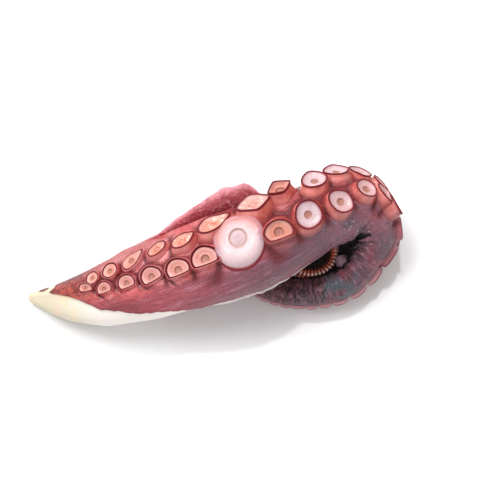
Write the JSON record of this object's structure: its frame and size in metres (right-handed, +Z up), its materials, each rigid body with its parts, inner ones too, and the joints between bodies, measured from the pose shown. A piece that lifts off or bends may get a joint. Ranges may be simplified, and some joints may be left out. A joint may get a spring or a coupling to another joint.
{
  "type": "cooked octopus arm",
  "caption": "Cooked octopus arm with two rows of suckers, cut slantwise at the thick end and curled under itself at the thin end.",
  "frame": {"origin": "centre of the footprint's box, on the floor the arm rests on", "axes": "+X from the cut end towards the coil, +Y away from the cut face, +Z up"},
  "size_m": [0.1796, 0.0751, 0.0543],
  "materials": {
    "octopus_skin": "wet, glossy skin"
  },
  "bodies": {
    "root": {"octopus_arm": "octopus_skin"}
  },
  "joints": []
}
